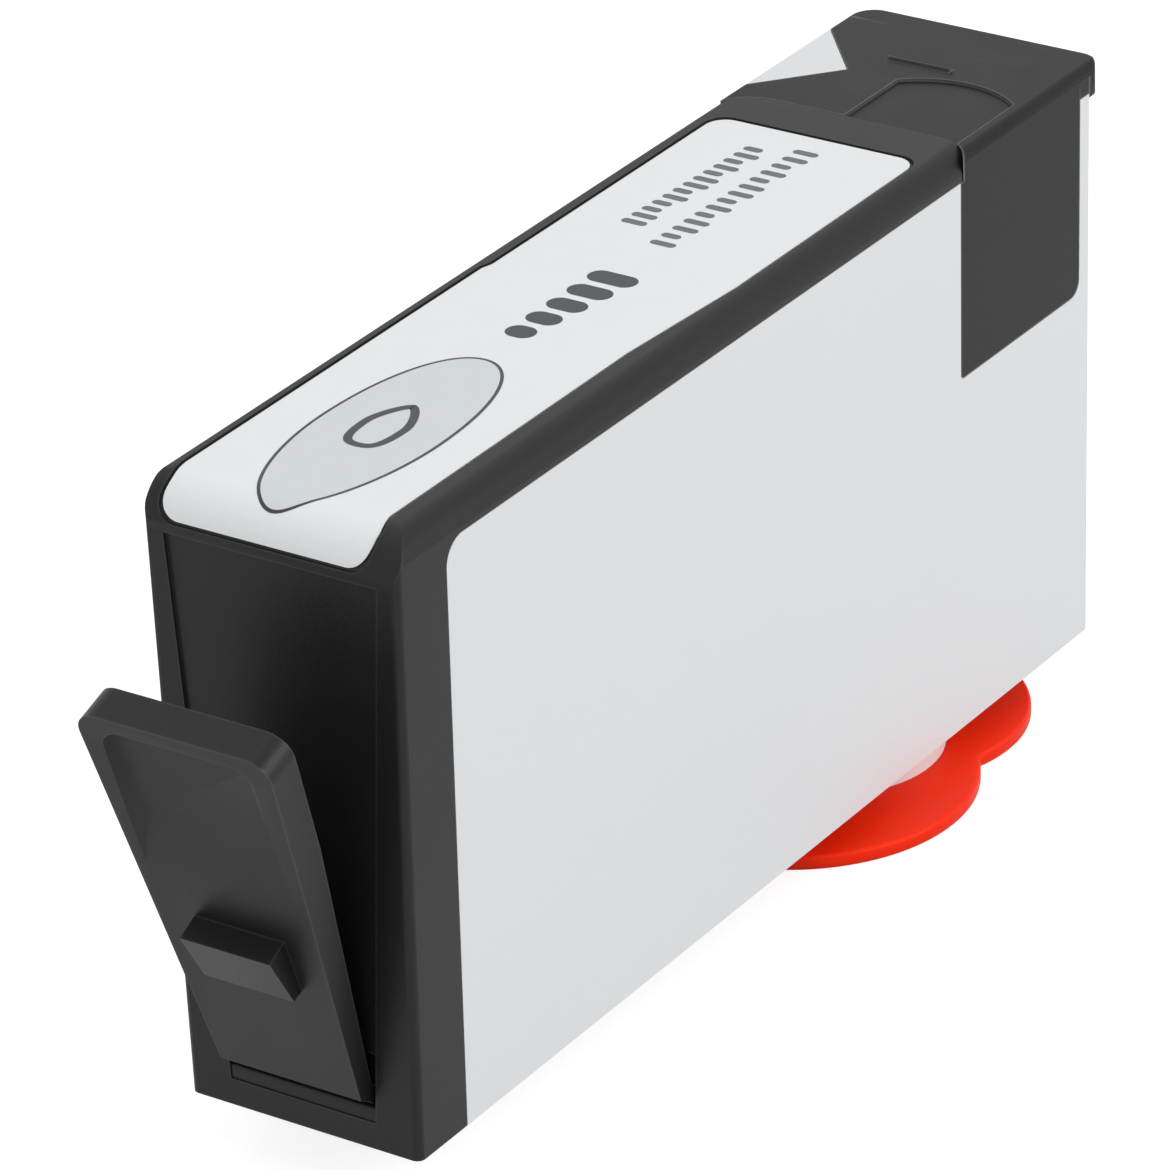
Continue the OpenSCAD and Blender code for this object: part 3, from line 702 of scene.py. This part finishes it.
class CARTRIDGE_OT_tank(bpy.types.Operator):
    """Soften the tank and its welded lid"""

    bl_idname = "cartridge.tank"
    bl_label = "Dress the tank"

    def execute(self, context):
        radius = context.scene.cartridge_sizes.tank_edge
        for node, name in (("tank_shell", "tank_body"), ("tank_lid", "tank_side")):
            dress(node, name, radius, "Tank plastic")
        return {"FINISHED"}


class CARTRIDGE_OT_cover(bpy.types.Operator):
    """Soften the cover round the tank"""

    bl_idname = "cartridge.cover"
    bl_label = "Dress the cover"

    def execute(self, context):
        radius = context.scene.cartridge_sizes.cover_edge
        dress("front_top_cover", "cover_shell", radius, "Cover plastic")
        return {"FINISHED"}


class CARTRIDGE_OT_lever(bpy.types.Operator):
    """Soften the latch lever"""

    bl_idname = "cartridge.lever"
    bl_label = "Dress the lever"

    def execute(self, context):
        radius = context.scene.cartridge_sizes.lever_edge
        dress("latch_lever", "lever_arm", radius, "Lever plastic", body="lever")
        return {"FINISHED"}


class CARTRIDGE_OT_hinge_strip(bpy.types.Operator):
    """Model the strip that closes the lower part of the pocket at the lever's root"""

    bl_idname = "cartridge.hinge_strip"
    bl_label = "Model the hinge strip"

    def execute(self, context):
        front, back = STRIP_X
        low, high = STRIP_Z
        bpy.ops.object.select_all(action="DESELECT")
        bpy.ops.mesh.primitive_cube_add(size=1, location=place((front + back) / 2, 0, (low + high) / 2),
                                        scale=((back - front) * MM, 2 * STRIP_HALF * MM, (high - low) * MM))
        piece = settle(context.active_object, "hinge_strip")
        finish_with(piece, "BEVEL", width=STRIP_EDGE * MM, segments=EDGE_STEPS)
        bpy.ops.object.shade_smooth_by_angle(angle=SMOOTH_ANGLE)
        wear(piece, "Cover plastic")
        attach(piece, "body")
        return {"FINISHED"}


class CARTRIDGE_OT_rear_cap(bpy.types.Operator):
    """Soften the rear cap"""

    bl_idname = "cartridge.rear_cap"
    bl_label = "Dress the rear cap"

    def execute(self, context):
        radius = context.scene.cartridge_sizes.cap_edge
        dress("rear_cap", "rear_saddle", radius, "Rear cap plastic")
        return {"FINISHED"}


class CARTRIDGE_OT_shipping_cap(bpy.types.Operator):
    """Soften the shipping cap"""

    bl_idname = "cartridge.shipping_cap"
    bl_label = "Dress the shipping cap"

    def execute(self, context):
        radius = context.scene.cartridge_sizes.plug_edge
        dress("shipping_cap", "outlet_plug", radius, "Shipping cap plastic")
        return {"FINISHED"}


class CARTRIDGE_OT_label(bpy.types.Operator):
    """Lay the printed shapes on the top label"""

    bl_idname = "cartridge.label"
    bl_label = "Print the label"

    def execute(self, context):
        sizes = context.scene.cartridge_sizes
        wear(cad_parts["top_label"], "Label paper")
        oval = round_curve("print_oval", *OVAL)
        rim_of(oval, sizes.print_line, True)
        lay_print(oval)
        drop = round_curve("print_drop", *DROP)
        rim_of(drop, sizes.print_stroke, False)
        drop.data.materials.append(bpy.data.materials["Printing ink"])
        lay_print(drop, 2)
        bars = []
        for step in range(LEVEL_COUNT):
            front = LEVEL_FRONT + LEVEL_PITCH * step
            bars.append((front, front + LEVEL_LENGTH, LEVEL_NEAR - LEVEL_RISE * step, LEVEL_FAR))
        lay_print(bar_row("print_level", bars, "Printing ink"))
        for name, start, pitch, middle, drift, tall in SMALL_ROWS:
            bars = []
            for step, mark in enumerate(tall):
                front = start + pitch * step
                side = middle + drift * (front - start)
                near = side - (TALL_REACH if mark == "1" else SHORT_REACH)
                bars.append((front, front + SMALL_LENGTH, near, side + TALL_REACH))
            lay_print(bar_row(name, bars, "Pale printing ink"))
        return {"FINISHED"}


class CARTRIDGE_OT_inner_pieces(bpy.types.Operator):
    """Give the chip and the inner pieces their finishes"""

    bl_idname = "cartridge.inner_pieces"
    bl_label = "Dress the inner pieces"

    def execute(self, context):
        worn = {
            "store_foam": ("Soaked foam", "foam"), "feed_foam": ("Soaked foam", "foam"),
            "outlet_wick": ("Soaked foam", "foam"), "filter_screen": ("Woven steel", "steel_mesh"),
            "outlet_seal_ring": ("Seal rubber", "rubber"), "shipping_cap_seal": ("Seal rubber", "rubber"),
            "chip_board": ("Solder mask", "board"), "chip_contacts": ("Gold plate", "gold"),
            "vent_membrane": ("Label paper", "label_paper"), "vent_film": ("Vent film", "steel_mesh"),
            "fill_plugs": ("Seal rubber", "rubber"),
        }
        for node, (finish, slot) in worn.items():
            wear(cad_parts[node], finish)
        return {"FINISHED"}


def camera_turn(azimuth, elevation, roll):
    """Rotation of a camera that looks at its aim from an azimuth and elevation, with a roll."""
    back = Vector((math.sin(azimuth) * math.cos(elevation), -math.cos(azimuth) * math.cos(elevation),
                   math.sin(elevation)))
    side = (-back).cross(Vector((0, 0, 1))).normalized()
    up = side.cross(-back)
    right = math.cos(roll) * side + math.sin(roll) * up
    top = -math.sin(roll) * side + math.cos(roll) * up
    return Matrix((right, top, back)).transposed(), back


def add_floor(stage):
    """A pale floor that is white to the camera and keeps the part's shadow."""
    bpy.ops.mesh.primitive_plane_add(size=stage.floor_size, location=(0, 0, cad_box[0][2] - FLOOR_DROP))
    floor = bpy.context.active_object
    floor.name = "floor"
    finish, tree, shader = new_finish("Floor paper")
    shader.inputs["Base Color"].default_value = (FLOOR_GREY, FLOOR_GREY, FLOOR_GREY, 1)
    shader.inputs["Roughness"].default_value = 0.9
    shader.inputs["Emission Color"].default_value = (1, 1, 1, 1)
    path = tree.nodes.new("ShaderNodeLightPath")
    bounced = maths(tree, "ADD", path.outputs["Is Glossy Ray"], path.outputs["Is Transmission Ray"])
    seen_glow = maths(tree, "MULTIPLY", path.outputs["Is Camera Ray"], FLOOR_SEEN_GLOW)
    glow = maths(tree, "MULTIPLY_ADD", bounced, stage.floor_glow, seen_glow)
    tree.links.new(glow, shader.inputs["Emission Strength"])
    floor.data.materials.append(finish)


def light_world(stage):
    """A world that lights the part softly and is white to the camera, gloss and glass."""
    world = bpy.context.scene.world or bpy.data.worlds.new("Studio")
    bpy.context.scene.world = world
    world.use_nodes = True
    tree = world.node_tree
    tree.nodes.clear()
    shine = tree.nodes.new("ShaderNodeBackground")
    seen = tree.nodes.new("ShaderNodeBackground")
    for node, strength in ((shine, stage.world_level), (seen, 1.0)):
        node.inputs["Color"].default_value = (1, 1, 1, 1)
        node.inputs["Strength"].default_value = strength
    mix = tree.nodes.new("ShaderNodeMixShader")
    out = tree.nodes.new("ShaderNodeOutputWorld")
    ray = tree.nodes.new("ShaderNodeLightPath")
    straight = maths(tree, "ADD", ray.outputs["Is Camera Ray"], ray.outputs["Is Glossy Ray"])
    tree.links.new(maths(tree, "ADD", straight, ray.outputs["Is Transmission Ray"]), mix.inputs["Fac"])
    tree.links.new(shine.outputs[0], mix.inputs[1])
    tree.links.new(seen.outputs[0], mix.inputs[2])
    tree.links.new(mix.outputs[0], out.inputs["Surface"])


def add_lamps(stage):
    """The square lamps, all turned to the part."""
    for name, spot, in_gloss in LAMPS:
        lamp_data = bpy.data.lights.new(name + "_lamp", "AREA")
        lamp_data.shape = "SQUARE"
        lamp_data.size = LAMP_SIZE
        lamp_data.energy = getattr(stage, name + "_power")
        lamp = bpy.data.objects.new(name + "_lamp", lamp_data)
        bpy.context.scene.collection.objects.link(lamp)
        lamp.location = spot
        lamp.visible_glossy = in_gloss
        lamp.rotation_euler = (Vector(spot) - place(*LAMP_AIM)).to_track_quat("Z", "Y").to_euler()


def add_camera(stage):
    """The camera at its aim, turn and distance."""
    turn, back = camera_turn(stage.azimuth, stage.elevation, stage.roll)
    camera_data = bpy.data.cameras.new("camera")
    camera_data.sensor_width = 36
    camera_data.lens = stage.lens
    camera_data.clip_start = 0.01
    camera_data.clip_end = 50
    camera = bpy.data.objects.new("camera", camera_data)
    bpy.context.scene.collection.objects.link(camera)
    camera.matrix_world = Matrix.Translation(Vector(stage.aim) + back * stage.distance) @ turn.to_4x4()
    bpy.context.scene.camera = camera


class CARTRIDGE_OT_stage(bpy.types.Operator):
    """Set the floor, lamps, world and camera"""

    bl_idname = "cartridge.stage"
    bl_label = "Set the stage"

    def execute(self, context):
        stage = context.scene.cartridge_stage
        add_floor(stage)
        light_world(stage)
        add_lamps(stage)
        add_camera(stage)
        context.scene.view_settings.view_transform = "Standard"
        return {"FINISHED"}


class CARTRIDGE_PT_sidebar(bpy.types.Panel):
    """Lists the cartridge's steps and sizes"""

    bl_label = "Ink cartridge"
    bl_idname = "CARTRIDGE_PT_sidebar"
    bl_space_type = "VIEW_3D"
    bl_region_type = "UI"
    bl_category = "Cartridge"

    def draw(self, context):
        layout = self.layout
        for step in STEPS:
            layout.operator(step.bl_idname)
        scene = context.scene
        for group in (scene.cartridge_sizes, scene.cartridge_colours, scene.cartridge_stage):
            box = layout.box()
            for name in group.bl_rna.properties.keys():
                if name not in ("rna_type", "name"):
                    box.prop(group, name)


STEPS = (
    CARTRIDGE_OT_finishes,
    CARTRIDGE_OT_tank,
    CARTRIDGE_OT_cover,
    CARTRIDGE_OT_lever,
    CARTRIDGE_OT_hinge_strip,
    CARTRIDGE_OT_rear_cap,
    CARTRIDGE_OT_shipping_cap,
    CARTRIDGE_OT_label,
    CARTRIDGE_OT_inner_pieces,
    CARTRIDGE_OT_stage,
)
CLASSES = (CartridgeSizes, CartridgeColours, CartridgeStage, *STEPS, CARTRIDGE_PT_sidebar)


def register():
    """Registers the classes and hangs the settings on the scene."""
    for cls in CLASSES:
        bpy.utils.register_class(cls)
    bpy.types.Scene.cartridge_sizes = bpy.props.PointerProperty(type=CartridgeSizes)
    bpy.types.Scene.cartridge_colours = bpy.props.PointerProperty(type=CartridgeColours)
    bpy.types.Scene.cartridge_stage = bpy.props.PointerProperty(type=CartridgeStage)


def unregister():
    """Takes the settings and the classes away again."""
    del bpy.types.Scene.cartridge_stage
    del bpy.types.Scene.cartridge_colours
    del bpy.types.Scene.cartridge_sizes
    for cls in reversed(CLASSES):
        bpy.utils.unregister_class(cls)


def main():
    """Runs each step in order."""
    register()
    bpy.ops.cartridge.finishes()
    bpy.ops.cartridge.tank()
    bpy.ops.cartridge.cover()
    bpy.ops.cartridge.lever()
    bpy.ops.cartridge.hinge_strip()
    bpy.ops.cartridge.rear_cap()
    bpy.ops.cartridge.shipping_cap()
    bpy.ops.cartridge.label()
    bpy.ops.cartridge.inner_pieces()
    bpy.ops.cartridge.stage()


if __name__ == "__main__":
    main()
